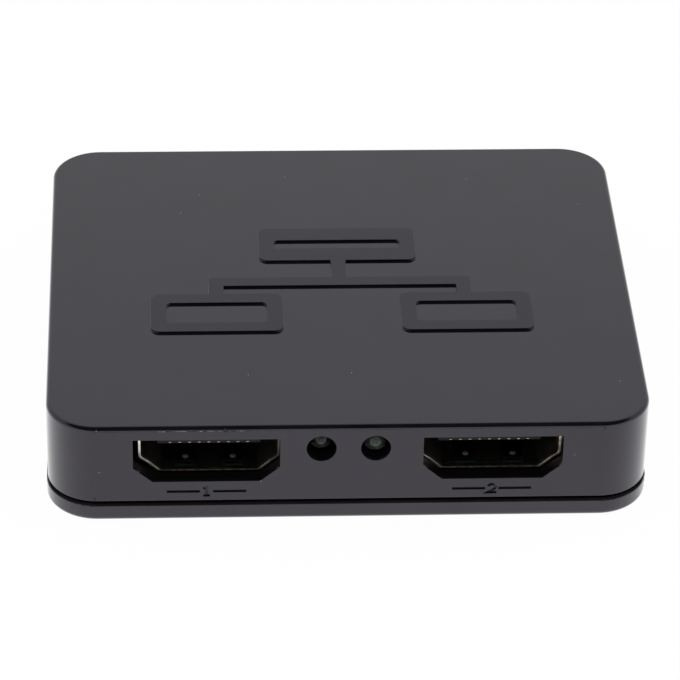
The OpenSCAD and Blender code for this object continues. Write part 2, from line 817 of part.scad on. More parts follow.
module regulators() color(black_colour) for (place = regulator_places)
    on_board(place) board_box(regulator_l, regulator_w, regulator_h, chip_lift);

module regulator_leads() color(tin_colour) for (place = regulator_places) on_board(place) {
    rise = chip_lift + regulator_h / 2;
    for (i = [-1, 0, 1]) translate([i * regulator_pitch, 0, 0])
        gull_lead(regulator_w / 2, rise, regulator_reach, regulator_lead_t, regulator_lead_w);
    rotate(180) gull_lead(regulator_w / 2, rise, regulator_reach, regulator_lead_t, regulator_tab_w);
}

module memory_chip() color(black_colour)
    on_board(memory_at) board_box(memory_l, memory_w, memory_h, chip_lift);

module memory_chip_leads() color(tin_colour) on_board(memory_at)
    for (turn = [0, 180], i = [0 : memory_leads - 1])
        rotate(turn) translate([(i - (memory_leads - 1) / 2) * memory_pitch, 0, 0])
            gull_lead(memory_w / 2, chip_lift + memory_h / 2, memory_reach, memory_lead_t, memory_lead_w);

module capacitor_cans() color(metal_colour) for (place = can_places)
    on_board(place) translate([0, 0, can_base_h]) cylinder(h = can_h, d = can_d);

module capacitor_bases() color(black_colour) for (place = can_places)
    on_board(place) board_box(can_base_w, can_base_w, can_base_h);

module at_ceramics() {
    for (turn = [0 : 90 : 270], i = [0 : ceramic_n - 1])
        on_board(chip_at) rotate(turn)
            translate([(i - (ceramic_n - 1) / 2) * ceramic_pitch, ceramic_out, 0]) children();
}

module at_resistors() {
    for (side = [-1, 1], i = [0 : resistor_n - 1])
        at_output(side)
            translate([(i - (resistor_n - 1) / 2) * resistor_pitch, resistor_in, -shell_t]) children();
}

module passive_body(h) {
    board_box(passive_l - 2 * end_l, passive_w, h);
}

module passive_ends(h) {
    for (side = [-1, 1]) translate([side * (passive_l - end_l) / 2, 0, 0]) board_box(end_l, passive_w, h);
}

module ceramic_capacitors() color("#a98a63") at_ceramics() passive_body(ceramic_h);

module ceramic_capacitor_ends() color(tin_colour) at_ceramics() passive_ends(ceramic_h);

module resistors() color(black_colour) at_resistors() passive_body(resistor_h);

module resistor_ends() color(tin_colour) at_resistors() passive_ends(resistor_h);

module surge_arrays() color(black_colour) at_sockets() for (side = [-1, 1])
    translate([side * surge_pitch / 2, surge_in, -shell_t]) board_box(surge_l, surge_w, surge_h);

// Video sockets

module socket_outline(grow) {
    polygon(rounded(grown(port_outline, grow), port_round + grow));
}

module leaf_window(z) {
    for (side = [-1, 1])
        translate([side * leaf_pitch / 2 - leaf_w / 2 - leaf_gap, leaf_in - leaf_gap, z - fuse])
            cube([leaf_w + 2 * leaf_gap, leaf_l + leaf_gap + leaf_t + root_gap, shell_t + 2 * fuse]);
}

module socket_shell() color(metal_colour) {
    leg_foot = -shell_t - board_t - tail_l;
    difference() {
        along(0, port_l) difference() {
            socket_outline(shell_t);
            socket_outline(0);
        }
        leaf_window(-shell_t);
        leaf_window(port_h);
    }
    for (side = [-1, 1], v = leg_places)
        translate([side * (port_w + shell_t) / 2 - shell_t / 2, v - leg_l / 2, leg_foot])
            cube([shell_t, leg_l, port_side_h + leg_l - leg_foot]);
}

// Contacts lie on both faces of the tongue in turn
function contact_x(i) = (i - (contact_n - 1) / 2) * contact_pitch;

function contact_z(i) = tongue_z + (i % 2 == 0 ? 1 : -1) * (tongue_t - contact_t) / 2;

module socket_insulator() color(black_colour) difference() {
    block_in = port_l - block_l;
    union() {
        along(block_in, port_l) socket_outline(-block_gap);
        translate([-tongue_w / 2, tongue_in, tongue_z - tongue_t / 2])
            cube([tongue_w, block_in - tongue_in + fuse, tongue_t]);
    }
    for (i = [0 : contact_n - 1])
        translate([
            contact_x(i) - contact_w / 2 - contact_gap,
            tongue_in - fuse,
            contact_z(i) - contact_t / 2 - contact_gap
        ])
            cube([contact_w + 2 * contact_gap, port_l, contact_t + 2 * contact_gap]);
}

module socket_contacts() color(gold_colour) for (i = [0 : contact_n - 1]) {
    foot_z = contact_t / 2 - shell_t;
    translate([contact_x(i), 0, 0]) strip([
        [tongue_in + contact_in, contact_z(i)],
        [tail_in, contact_z(i)],
        [tail_in, foot_z],
        [tail_in + contact_foot, foot_z]
    ], contact_t, contact_w);
}

// One pair of leaves, lying in the shell's roof, each with a round dimple pressed inwards
module leaf_pair() {
    inner_face = -leaf_t / 2;
    dimple_at = [0, grip_in - leaf_t / 2 - leaf_l, inner_face - grip_h + dimple_r];
    for (side = [-1, 1]) translate([side * leaf_pitch / 2, 0, 0]) {
        difference() {
            union() {
                strip([[0, 0], [-leaf_l, 0]], leaf_t, leaf_w);
                intersection() {
                    translate(dimple_at) sphere(dimple_r);
                    translate([-leaf_w / 2, -leaf_l - grip_in, inner_face - past])
                        cube([leaf_w, leaf_l, past + fuse]);
                }
            }
            translate(dimple_at) sphere(dimple_r - leaf_t);
        }
        for (end = [0, leaf_l])
            translate([0, -end, 0]) rotate([0, 90, 0]) cylinder(h = leaf_w, d = leaf_t, center = true);
    }
}

module upper_springs() color(metal_colour)
    translate([0, leaf_root, port_h + shell_t / 2]) rotate([leaf_slope, 0, 0]) leaf_pair();

module lower_springs() color(metal_colour)
    translate([0, leaf_root, -shell_t / 2]) rotate([-leaf_slope, 0, 0]) mirror([0, 0, 1]) leaf_pair();

// Power socket

module inlet_face(grow) {
    polygon(rounded(grown(inlet_outline, grow), inlet_round + grow));
}

module power_shell() color(metal_colour) at_power() {
    leg_foot = -inlet_t - board_t - tail_l;
    along(0, inlet_l) difference() {
        inlet_face(inlet_t);
        inlet_face(0);
    }
    for (side = [-1, 1])
        translate([side * (inlet_w + inlet_t) / 2 - inlet_t / 2, inlet_leg - leg_l / 2, leg_foot])
            cube([inlet_t, leg_l, inlet_h - inlet_round - leg_foot]);
}

function inlet_contact_x(i) = (i - (inlet_contact_n - 1) / 2) * inlet_contact_pitch;

module power_insulator() color(black_colour) at_power() difference() {
    block_in = inlet_l - inlet_block_l;
    union() {
        along(block_in, inlet_l) inlet_face(-block_gap);
        translate([-inlet_tongue_w / 2, inlet_tongue_in, inlet_tongue_h])
            cube([inlet_tongue_w, block_in - inlet_tongue_in + fuse, inlet_tongue_t]);
    }
    for (i = [0 : inlet_contact_n - 1])
        translate([
            inlet_contact_x(i) - contact_w / 2 - contact_gap,
            inlet_tongue_in + contact_in - contact_gap,
            inlet_tongue_h - contact_gap
        ])
            cube([contact_w + 2 * contact_gap, inlet_l, contact_t + 2 * contact_gap]);
}

module power_contacts() color(gold_colour) at_power() for (i = [0 : inlet_contact_n - 1]) {
    foot_z = contact_t / 2 - inlet_t;
    translate([inlet_contact_x(i), 0, 0]) strip([
        [inlet_tongue_in + contact_in, inlet_contact_z],
        [inlet_tail_in, inlet_contact_z],
        [inlet_tail_in, foot_z],
        [inlet_tail_in + contact_foot, foot_z]
    ], contact_t, contact_w);
}

// Status lamps

module lamp_lens(side) color("#cfe8cf") at_lamp(side) translate([0, lamp_back(side), 0]) rotate([90, 0, 0])
    rotate_extrude() {
        dome_z = lamp_l - lamp_d / 2;
        square([lamp_d / 2, dome_z]);
        square([lamp_d / 2 + flange_out, flange_t]);
        translate([0, dome_z]) intersection() {
            circle(d = lamp_d);
            square(lamp_d);
        }
    }

module lamp_leads(side) color(tin_colour) for (lead = [-1, 1])
    translate([lamp_x(side) + lead * lead_pitch / 2, lamp_back(side), 0])
        strip([[0, lamp_z], [lead_bend, lamp_z], [lead_bend, board_z - tail_l]], lead_t, lead_t);

top_cover();
bottom_cover();
case_screws();
circuit_board();
splitter_chip();
splitter_chip_pins();
clock_crystal();
regulators();
regulator_leads();
memory_chip();
memory_chip_leads();
capacitor_cans();
capacitor_bases();
ceramic_capacitors();
ceramic_capacitor_ends();
resistors();
resistor_ends();
surge_arrays();
at_output(-1) socket_shell();  // output_1_shell
at_output(-1) socket_insulator();  // output_1_insulator
at_output(-1) socket_contacts();  // output_1_contacts
at_output(-1) upper_springs();  // output_1_upper_springs
at_output(-1) lower_springs();  // output_1_lower_springs
at_output(1) socket_shell();  // output_2_shell
at_output(1) socket_insulator();  // output_2_insulator
at_output(1) socket_contacts();  // output_2_contacts
at_output(1) upper_springs();  // output_2_upper_springs
at_output(1) lower_springs();  // output_2_lower_springs
at_input() socket_shell();  // input_shell
at_input() socket_insulator();  // input_insulator
at_input() socket_contacts();  // input_contacts
at_input() upper_springs();  // input_upper_springs
at_input() lower_springs();  // input_lower_springs
power_shell();
power_insulator();
power_contacts();
lamp_lens(-1);  // lamp_1_lens
lamp_leads(-1);  // lamp_1_leads
lamp_lens(1);  // lamp_2_lens
lamp_leads(1);  // lamp_2_leads
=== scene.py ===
"""Looks of a small black video splitter box: finishes, moulding marks, lamps, studio and camera."""
import json
import math
import random

import bmesh
import bpy
from mathutils import Matrix, Vector


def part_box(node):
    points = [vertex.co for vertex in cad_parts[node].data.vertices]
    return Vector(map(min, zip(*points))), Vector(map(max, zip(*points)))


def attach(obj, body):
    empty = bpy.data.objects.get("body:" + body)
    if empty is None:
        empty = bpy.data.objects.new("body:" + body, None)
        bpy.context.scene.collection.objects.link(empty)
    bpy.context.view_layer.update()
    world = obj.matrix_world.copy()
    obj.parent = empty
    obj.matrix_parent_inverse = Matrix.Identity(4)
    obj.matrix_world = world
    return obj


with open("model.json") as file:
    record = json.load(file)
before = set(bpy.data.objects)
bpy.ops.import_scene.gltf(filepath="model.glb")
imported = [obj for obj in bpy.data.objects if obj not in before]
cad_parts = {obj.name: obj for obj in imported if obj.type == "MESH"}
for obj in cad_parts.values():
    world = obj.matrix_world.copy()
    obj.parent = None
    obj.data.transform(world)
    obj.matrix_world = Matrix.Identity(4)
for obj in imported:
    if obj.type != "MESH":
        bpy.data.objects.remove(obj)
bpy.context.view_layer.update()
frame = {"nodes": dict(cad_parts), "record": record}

MM = 0.001
RECORD = frame["record"]
NODES = frame["nodes"]

# Camera, fitted to the edges of the case in a square picture
PICTURE_PX = 680
FOCAL_PX = 3813.3
SENSOR_MM = 36
VIEW_PITCH = 34.21
VIEW_YAW = 3.239
VIEW_ROLL = 1.274
VIEW_DISTANCE = 409.87 * MM
VIEW_AIM = Vector((0.048, -3.092, 5.905)) * MM


# Node trees

class Wire:
    """A value on its way through a node tree. Arithmetic on it adds Math nodes."""

    def __init__(self, tree, socket):
        self.tree = tree
        self.socket = socket

    def math(self, operation, first, second):
        return self.tree.add("ShaderNodeMath", {"operation": operation}, {0: first, 1: second})

    def __add__(self, other):
        return self.math("ADD", self, other)

    __radd__ = __add__

    def __sub__(self, other):
        return self.math("SUBTRACT", self, other)

    def __rsub__(self, other):
        return self.math("SUBTRACT", other, self)

    def __mul__(self, other):
        return self.math("MULTIPLY", self, other)

    __rmul__ = __mul__

    def __truediv__(self, other):
        return self.math("DIVIDE", self, other)

    def __gt__(self, other):
        return self.math("GREATER_THAN", self, other)

    def __lt__(self, other):
        return self.math("LESS_THAN", self, other)

    def __abs__(self):
        return self.math("ABSOLUTE", self, 0.0)

    def rise(self, low, high):
        """0 below low, 1 above high and a smooth step between them; low may be the larger."""
        settings = {"interpolation_type": "SMOOTHSTEP"}
        inputs = {"Value": self, "From Min": low, "From Max": high}
        return self.tree.add("ShaderNodeMapRange", settings, inputs)


class Tree:
    """Adds nodes to one node tree."""

    def __init__(self, node_tree):
        self.node_tree = node_tree

    def add(self, kind, settings=None, inputs=None, output=0):
        node = self.node_tree.nodes.new(kind)
        for name, value in (settings or {}).items():
            setattr(node, name, value)
        self.feed(node, inputs or {})
        return Wire(self, node.outputs[output])

    def feed(self, node, inputs):
        for key, value in inputs.items():
            if isinstance(value, Wire):
                self.node_tree.links.new(value.socket, node.inputs[key])
            else:
                node.inputs[key].default_value = value

    def place(self):
        """Place on the piece, in the model's frame."""
        return self.add("ShaderNodeTexCoord", output="Object")

    def axes(self, place):
        return [self.add("ShaderNodeSeparateXYZ", inputs={0: place}, output=axis) for axis in range(3)]

    def stretched(self, place, scale, turn=0.0):
        turn_z = (0.0, 0.0, math.radians(turn))
        return self.add("ShaderNodeMapping", inputs={"Vector": place, "Scale": scale, "Rotation": turn_z})

    def noise(self, place, size_mm, detail=2.0, seed=0.0):
        """Cloudy noise from 0 to 1 with features of about size_mm."""
        inputs = {"Vector": place, "W": seed, "Scale": 1 / (size_mm * MM), "Detail": detail}
        return self.add("ShaderNodeTexNoise", {"noise_dimensions": "4D"}, inputs)

    def specks(self, place, spacing_mm, radius_mm, share, seed=0.0):
        """1 on small round specks, one at most in each cell and only in that share of the cells."""
        settings = {"voronoi_dimensions": "4D"}
        inputs = {"Vector": place, "W": seed, "Scale": 1 / (spacing_mm * MM)}
        near = self.add("ShaderNodeTexVoronoi", settings, inputs, output="Distance")
        cell = self.add("ShaderNodeTexVoronoi", settings, inputs, output="Color")
        draw = self.add("ShaderNodeSeparateColor", inputs={0: cell}, output=0)
        size = radius_mm / spacing_mm
        return near.rise(size, size / 2) * (draw < share)

    def spots(self, place, middles_mm, radius_mm):
        """1 on small round spots at given places."""
        total = 0.0
        for middle in middles_mm:
            ends = {0: place, 1: Vector(middle) * MM}
            away = self.add("ShaderNodeVectorMath", {"operation": "DISTANCE"}, ends, output="Value")
            total = total + away.rise(radius_mm * MM, radius_mm * 0.5 * MM)
        return total

    def hairlines(self, place, size_mm, turn, seed):
        """1 on sparse fine scratches that run along one way."""
        long_way = self.stretched(place, (0.03, 1.0, 1.0), turn)
        return self.noise(long_way, size_mm, 3.0, seed).rise(0.7, 0.76)

    def blend(self, factor, first, second):
        return self.add("ShaderNodeMix", {"data_type": "RGBA"}, {0: factor, 6: first, 7: second}, output=2)

    def bump(self, height, depth_mm, strength=1.0):
        inputs = {"Height": height, "Distance": depth_mm * MM, "Strength": strength}
        return self.add("ShaderNodeBump", inputs=inputs)


class Finish(Tree):
    """One material: the constants of its surface are set here, and what varies is fed in later."""

    def __init__(self, name, constants=None):
        self.material = bpy.data.materials.new(name)
        self.material.use_nodes = True
        super().__init__(self.material.node_tree)
        self.surface = self.node_tree.nodes["Principled BSDF"]
        self.feed(self.surface, constants or {})

    def set(self, inputs):
        self.feed(self.surface, inputs)
        return self.material


def tone(red, green, blue):
    return (red, green, blue, 1.0)


# Finishes

def moulded_case(name, seed, dark, pale):
    """Black moulded plastic: glossy outside, faintly mottled, with dust and scratches; dull, uncoated and
    painted nearly black in its cuts as painted shade.
    """
    finish = Finish(name, {
        "IOR": 1.8, "Specular Tint": tone(0.315, 0.287, 0.375),
        "Coat IOR": 1.39, "Coat Roughness": 0.07, "Coat Tint": tone(0.985, 0.97, 1.0)})
    place = finish.place()
    x, y, z = finish.axes(place)
    cut_dull_and_shaded = (abs(x) < CUT_X) * abs(y).rise(CUT_Y, CUT_Y - CUT_FADE) * (z > CUT_FOOT) * (z < CUT_TOP)
    raised = z.rise(RELIEF_FOOT, RELIEF_FACE)
    mottle = finish.noise(place, size_mm=6.0, detail=3.0, seed=seed)
    grain = finish.noise(place, size_mm=0.09, detail=2.0, seed=seed + 1)
    dust = finish.specks(place, spacing_mm=2.3, radius_mm=0.045, share=0.06, seed=seed + 2)
    dust = dust + finish.spots(place, DUST_MM, radius_mm=0.08)
    scratch = finish.hairlines(place, size_mm=0.16, turn=25, seed=seed + 3) * mottle.rise(0.5, 0.7)
    plastic = finish.blend(mottle.rise(0.25, 0.75) * 0.7 + grain * 0.3, tone(*dark), tone(*pale))
    # Painted shade: openings, engraved marks and lamp holes are made nearly black
    plastic_shaded_in_cuts = finish.blend(cut_dull_and_shaded, plastic, tone(0.002, 0.002, 0.002))
    roughness = 0.06 + mottle * 0.06 + grain * 0.05 + scratch * 0.12 + raised * 0.2 + cut_dull_and_shaded * 0.4
    return finish.set({
        "Base Color": finish.blend(dust * 0.7, plastic_shaded_in_cuts, tone(0.32, 0.31, 0.30)),
        "Roughness": roughness + dust * 0.4,
        "Coat Weight": 1.0 - cut_dull_and_shaded - raised * 0.4,
        "Normal": finish.bump(grain * 0.6 + mottle * 0.4, depth_mm=0.005, strength=0.7),
    })


def torn_plastic(name, from_x, to_x):
    """Plastic that whitened in flecks where its flash was trimmed, between two places along the wall."""
    finish = Finish(name, {"IOR": 1.42})
    place = finish.place()
    x = finish.axes(place)[0]
    white = finish.noise(place, size_mm=0.4, detail=3.0).rise(0.48, 0.6) * (x > from_x) * (x < to_x)
    grain = finish.noise(place, size_mm=0.04, detail=2.0, seed=1.0)
    return finish.set({
        "Base Color": finish.blend(white, tone(0.006, 0.006, 0.009), tone(0.24, 0.23, 0.24)),
        "Roughness": 0.3 + white * 0.3,
        "Normal": finish.bump(grain, depth_mm=0.01, strength=0.5),
    })


def plated_sheet(name, shell, right_edge_light):
    """Nickel plated sheet steel with rolling marks, rougher deep in the socket and darkened there as painted
    shade.

    The sheared edge at its mouth is unplated along the bottom and on the right, and its pale tan is partly
    painted highlight; on the right each shell keeps its own share of that highlight, and the rest is painted
    shade.
    """
    low_corner, high_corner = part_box(shell)
    mouth = max(-low_corner.y, high_corner.y)
    middle = (low_corner.x + high_corner.x) / 2
    finish = Finish(name, {"Metallic": 1.0})
    place = finish.place()
    x, y, z = finish.axes(place)
    rolled = finish.noise(finish.stretched(place, (1.0, 0.06, 1.0)), size_mm=0.05, detail=3.0)
    tarnish = finish.noise(place, size_mm=1.1, detail=4.0, seed=3.0).rise(0.45, 0.75)
    low = z.rise(SHELL_FOOT + 2.0 * MM, SHELL_FOOT + 0.6 * MM)
    one_side = x.rise(middle + 5.0 * MM, middle + 6.8 * MM)
    # Unplated edge at the mouth; its pale tan is partly painted highlight
    raw_edge_and_highlight = (abs(y) > mouth - 0.05 * MM) * (low + one_side - low * one_side)
    # Deeper in the socket the steel is rougher and darkened as painted shade
    dull = abs(y).rise(mouth - 0.2 * MM, mouth - 0.8 * MM)
    steel = finish.blend(tarnish * 0.6, tone(0.80, 0.765, 0.70), tone(0.50, 0.44, 0.36))
    inside = finish.blend(dull * 0.8, steel, tone(0.07, 0.065, 0.055))
    # Painted shade on the right edge: identical shells get different shares of it
    right_edge_shade = one_side * (1 - right_edge_light)
    flecks = finish.noise(place, size_mm=0.7, detail=3.0, seed=5.0).rise(0.4, 0.6) * (1 - right_edge_shade)
    bright = finish.blend(flecks, tone(0.40, 0.31, 0.23), tone(0.84, 0.71, 0.57))
    edge_lit_and_shaded = finish.blend(right_edge_shade, bright, tone(0.06, 0.05, 0.04))
    # The edge is darker at its very foot, by the board
    foot = z.rise(SHELL_FOOT + 0.1 * MM, SHELL_FOOT + 0.2 * MM)
    foot_darkened = finish.blend(foot, tone(0.05, 0.04, 0.035), edge_lit_and_shaded)
    return finish.set({
        "Base Color": finish.blend(raw_edge_and_highlight * 0.9, inside, foot_darkened),
        "Roughness": 0.24 + rolled * 0.12 + tarnish * 0.12 + raw_edge_and_highlight * 0.1 + dull * 0.2,
        "Normal": finish.bump(rolled, depth_mm=0.003, strength=0.4),
    })


def grip_spring(name):
    """Spring steel made nearly black as painted shade, dull, with a painted highlight on the round of each
    dimple.
    """
    finish = Finish(name, {"Metallic": 1.0})
    place = finish.place()
    z = finish.axes(place)[2]
    stain = finish.noise(place, size_mm=0.5, detail=3.0)
    half_way = (GRIP_LOW + GRIP_HIGH) / 2
    # Painted highlight on the round of each dimple
    low_crown_highlight = z.rise(GRIP_LOW - HIGHLIGHT_ROOT, GRIP_LOW - HIGHLIGHT_CROWN) * (z < half_way)
    high_crown_highlight = z.rise(GRIP_HIGH + HIGHLIGHT_ROOT, GRIP_HIGH + HIGHLIGHT_CROWN) * (z > half_way)
    rubbed = low_crown_highlight + high_crown_highlight
    # Painted shade: the spring steel is made nearly black
    dull = finish.blend(stain, tone(0.014, 0.013, 0.012), tone(0.03, 0.028, 0.025))
    return finish.set({
        "Base Color": finish.blend(rubbed, dull, tone(0.88, 0.84, 0.82)),
        "Roughness": 0.55 + stain * 0.1,
        "Normal": finish.bump(stain, depth_mm=0.003, strength=0.4),
    })


def filled_resin(name):
    """Black glass-filled resin of the sockets' tongues."""
    finish = Finish(name)
    place = finish.place()
    fibres = finish.noise(finish.stretched(place, (1.0, 0.2, 1.0)), size_mm=0.06, detail=3.0)
    flow = finish.noise(place, size_mm=1.5, detail=2.0, seed=2.0)
    return finish.set({
        "Base Color": finish.blend(fibres * 0.7, tone(0.006, 0.006, 0.006), tone(0.016, 0.015, 0.015)),
        "Roughness": 0.42 + flow * 0.16,
        "Normal": finish.bump(fibres, depth_mm=0.004, strength=0.5),
    })


def gold_flash(name):
    """A thin pale flash of gold over nickel, worn away where a plug rubs."""
    finish = Finish(name, {"Metallic": 1.0})
    place = finish.place()
    worn = finish.noise(place, size_mm=0.4, detail=3.0).rise(0.5, 0.75)
    rubbed = finish.noise(finish.stretched(place, (1.0, 0.08, 1.0)), size_mm=0.04, detail=2.0, seed=1.0)
    return finish.set({
        "Base Color": finish.blend(worn * 0.6, tone(0.79, 0.71, 0.56), tone(0.76, 0.74, 0.70)),
        "Roughness": 0.2 + rubbed * 0.15,
        "Normal": finish.bump(rubbed, depth_mm=0.002, strength=0.4),
    })


def lamp_resin(name):
    """Clear resin with a slightly cloudy skin, which takes up light on its way through."""
    finish = Finish(name, {"IOR": 1.53, "Transmission Weight": 0.95, "Specular Tint": tone(0.22, 0.24, 0.23)})
    takes_up = {"Color": tone(0.175, 0.325, 0.225), "Density": 1000.0}
    tint = finish.add("ShaderNodeVolumeAbsorption", inputs=takes_up)
    finish.feed(finish.node_tree.nodes["Material Output"], {"Volume": tint})
    place = finish.place()
    cloud = finish.noise(place, size_mm=0.7, detail=3.0)
    return finish.set({
        "Base Color": finish.blend(cloud, tone(0.74, 0.82, 0.76), tone(0.82, 0.88, 0.84)),
        "Roughness": 0.01 + cloud * 0.02,
        "Normal": finish.bump(cloud, depth_mm=0.004, strength=0.2),
    })


def solder_mask(name):
    """Green lacquer over copper tracks on glass laminate."""
    finish = Finish(name, {"Coat Weight": 0.3, "Coat Roughness": 0.2})
    place = finish.place()
    weave = finish.add("ShaderNodeTexBrick", {"offset": 0.5}, {
        "Vector": place, "Scale": 1 / (1.6 * MM), "Mortar Size": 0.16, "Mortar Smooth": 0.2,
        "Brick Width": 2.4, "Row Height": 0.5}, output="Fac")
    cloth = finish.noise(place, size_mm=0.5, detail=2.0)
    return finish.set({
        "Base Color": finish.blend(weave * 0.7, tone(0.004, 0.014, 0.009), tone(0.011, 0.034, 0.021)),
        "Roughness": 0.34 + cloth * 0.14,
        "Normal": finish.bump(weave * 0.8 + cloth * 0.2, depth_mm=0.03, strength=0.5),
    })


def epoxy_package(name):
    """Dark moulding compound of chips, with its fine sandy grain."""
    finish = Finish(name)
    place = finish.place()
    sand = finish.noise(place, size_mm=0.12, detail=3.0)
    return finish.set({
        "Base Color": finish.blend(sand, tone(0.010, 0.010, 0.011), tone(0.024, 0.024, 0.026)),
        "Roughness": 0.55 + sand * 0.2,
        "Normal": finish.bump(sand, depth_mm=0.012, strength=0.6),
    })


def drawn_metal(name, pale, dull, gloss):
    """Plated or drawn metal with a brushed skin and dull patches."""
    finish = Finish(name, {"Metallic": 1.0})
    place = finish.place()
    brushed = finish.noise(finish.stretched(place, (0.08, 1.0, 1.0), turn=35), size_mm=0.05, detail=3.0)
    patch = finish.noise(place, size_mm=0.9, detail=3.0, seed=2.0).rise(0.45, 0.75)
    return finish.set({
        "Base Color": finish.blend(patch * 0.7, tone(*pale), tone(*dull)),
        "Roughness": gloss + brushed * 0.14 + patch * 0.1,
        "Normal": finish.bump(brushed, depth_mm=0.003, strength=0.5),
    })


def fired_ceramic(name):
    """Tan ceramic with the cloudiness of its firing."""
    finish = Finish(name)
    place = finish.place()
    fired = finish.noise(place, size_mm=0.3, detail=4.0)
    return finish.set({
        "Base Color": finish.blend(fired, tone(0.30, 0.19, 0.10), tone(0.42, 0.29, 0.17)),
        "Roughness": 0.35 + fired * 0.2,
        "Normal": finish.bump(fired, depth_mm=0.006, strength=0.4),
    })


# Case sizes, read from the solids
cover_low, cover_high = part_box("top_cover")
RELIEF_HEIGHT = 0.25 * MM
TOP_EDGE_R = 0.45 * MM
ROOF_Z = cover_high.z - RELIEF_HEIGHT
RELIEF_FOOT = ROOF_Z + RELIEF_HEIGHT * 0.5
RELIEF_FACE = ROOF_Z + RELIEF_HEIGHT * 0.9
# Openings, engraved marks and lamp holes lie inside this box, just under the skin of the walls; there the
# case is dull, uncoated and painted nearly black as painted shade
CUT_X = 25.0 * MM
CUT_Y = cover_high.y - 0.08 * MM
CUT_FADE = 0.32 * MM
CUT_FOOT = cover_low.z + 0.3 * MM
CUT_TOP = ROOF_Z - 1.0 * MM
SHELL_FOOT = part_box("circuit_board")[1].z
GRIP_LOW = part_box("output_1_lower_springs")[1].z
GRIP_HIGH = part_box("output_1_upper_springs")[0].z
# Each dimple gets a painted highlight from its crown down towards its root
HIGHLIGHT_ROOT = 0.16 * MM
HIGHLIGHT_CROWN = 0.06 * MM
# Larger specks of dust: eight on the roof, three on the front wall
DUST_MM = [(0.5, -17.5, 11.6), (-14.8, 17.4, 11.6), (-16.9, 13.7, 11.6), (-5.2, 21.0, 11.6),
           (15.1, 20.3, 11.6), (27.1, 14.9, 11.6), (-10.2, -17.7, 11.6), (28.2, -19.5, 11.6),
           (-25.6, -27.0, 6.1), (23.0, -27.0, 7.7), (-9.1, -27.0, 4.8)]

FINISHES = {
    "case_plastic": moulded_case("case_black", 0.0, (0.0025, 0.0023, 0.0036), (0.0061, 0.0058, 0.0080)),
    "screw_steel": drawn_metal("zinc_screw", (0.62, 0.61, 0.58), (0.36, 0.35, 0.33), 0.3),
    "board_laminate": solder_mask("board_green"),
    "chip_plastic": epoxy_package("chip_black"),
    "tinned_leads": drawn_metal("tinned_lead", (0.74, 0.74, 0.74), (0.52, 0.52, 0.53), 0.28),
    "crystal_steel": drawn_metal("crystal_can", (0.70, 0.68, 0.63), (0.50, 0.48, 0.44), 0.25),
    "capacitor_aluminium": drawn_metal("capacitor_can", (0.80, 0.80, 0.81), (0.62, 0.62, 0.63), 0.3),
    "ceramic_body": fired_ceramic("ceramic_tan"),
    "socket_plastic": filled_resin("socket_resin"),
    "gold_contacts": gold_flash("contact_gold"),
    "lamp_resin": lamp_resin("lamp_clear"),
}

OWN_FINISHES = {
    "bottom_cover": moulded_case("base_black", 20.0, (0.0090, 0.0080, 0.0085), (0.0165, 0.0150, 0.0155)),
}
# How much painted highlight the sheared edge of each shell keeps on its right; the rest of it there is
# painted shade
RIGHT_EDGE_LIGHTS = {"output_1_shell": 0.15, "output_2_shell": 1.0, "input_shell": 0.6, "power_shell": 0.6}
for shell, right_edge_light in RIGHT_EDGE_LIGHTS.items():
    OWN_FINISHES[shell] = plated_sheet(shell.replace("_shell", "_sheet"), shell, right_edge_light)
springs = grip_spring("grip_steel")

for part in RECORD["subparts"]:
    node = part["node"]
    slots = NODES[node].data.materials
    slots.clear()
    own = springs if node.endswith("_springs") else OWN_FINISHES.get(node)
    slots.append(own or FINISHES[part["material_slot"]])


# Edges: the sharp edges of the covers, screws, board and sockets get the small radius of their trade

def smooth_shading():
    """A node group that shades a piece smooth and leaves its mesh alone."""
    group = bpy.data.node_groups.new("smooth_shading", "GeometryNodeTree")
    for way in ("INPUT", "OUTPUT"):
        group.interface.new_socket("Geometry", in_out=way, socket_type="NodeSocketGeometry")
    chain = [group.nodes.new(kind) for kind in
             ("NodeGroupInput", "GeometryNodeSetShadeSmooth", "NodeGroupOutput")]
    for before, after in zip(chain, chain[1:]):
        group.links.new(before.outputs[0], after.inputs[0])
    return group


SMOOTH_SHADING = smooth_shading()


def soften(node, radius_mm, sharp_from=38):
    """Rounds the edges that turn by more than sharp_from degrees."""
    piece = NODES[node]
    piece.modifiers.new("joined corners", "WELD").merge_threshold = 0.002 * MM
    flat = piece.modifiers.new("whole flats", "DECIMATE")
    flat.decimate_type = "DISSOLVE"
    flat.angle_limit = math.radians(0.2)
    piece.modifiers.new("smooth shading", "NODES").node_group = SMOOTH_SHADING
    edge = piece.modifiers.new("edge radius", "BEVEL")
    edge.width = radius_mm * MM
    edge.segments = 2
    edge.limit_method = "ANGLE"
    edge.angle_limit = math.radians(sharp_from)
    edge.use_clamp_overlap = False
    edge.loop_slide = False
    shading = piece.modifiers.new("flat shading", "WEIGHTED_NORMAL")
    shading.weight = 100
    shading.keep_sharp = False


# The covers' moulded edges are round already, in steps of up to 45 degrees
soften("top_cover", 0.04, sharp_from=50)
soften("bottom_cover", 0.05, sharp_from=50)
soften("case_screws", 0.06)
soften("circuit_board", 0.02)
soften("power_shell", 0.05)
soften("power_insulator", 0.03)
for socket in ("output_1", "output_2", "input"):
    soften(socket + "_shell", 0.06)
    soften(socket + "_insulator", 0.02)
    soften(socket + "_contacts", 0.02)
    soften(socket + "_upper_springs", 0.04)
    soften(socket + "_lower_springs", 0.04)


# Pieces that the solids leave out

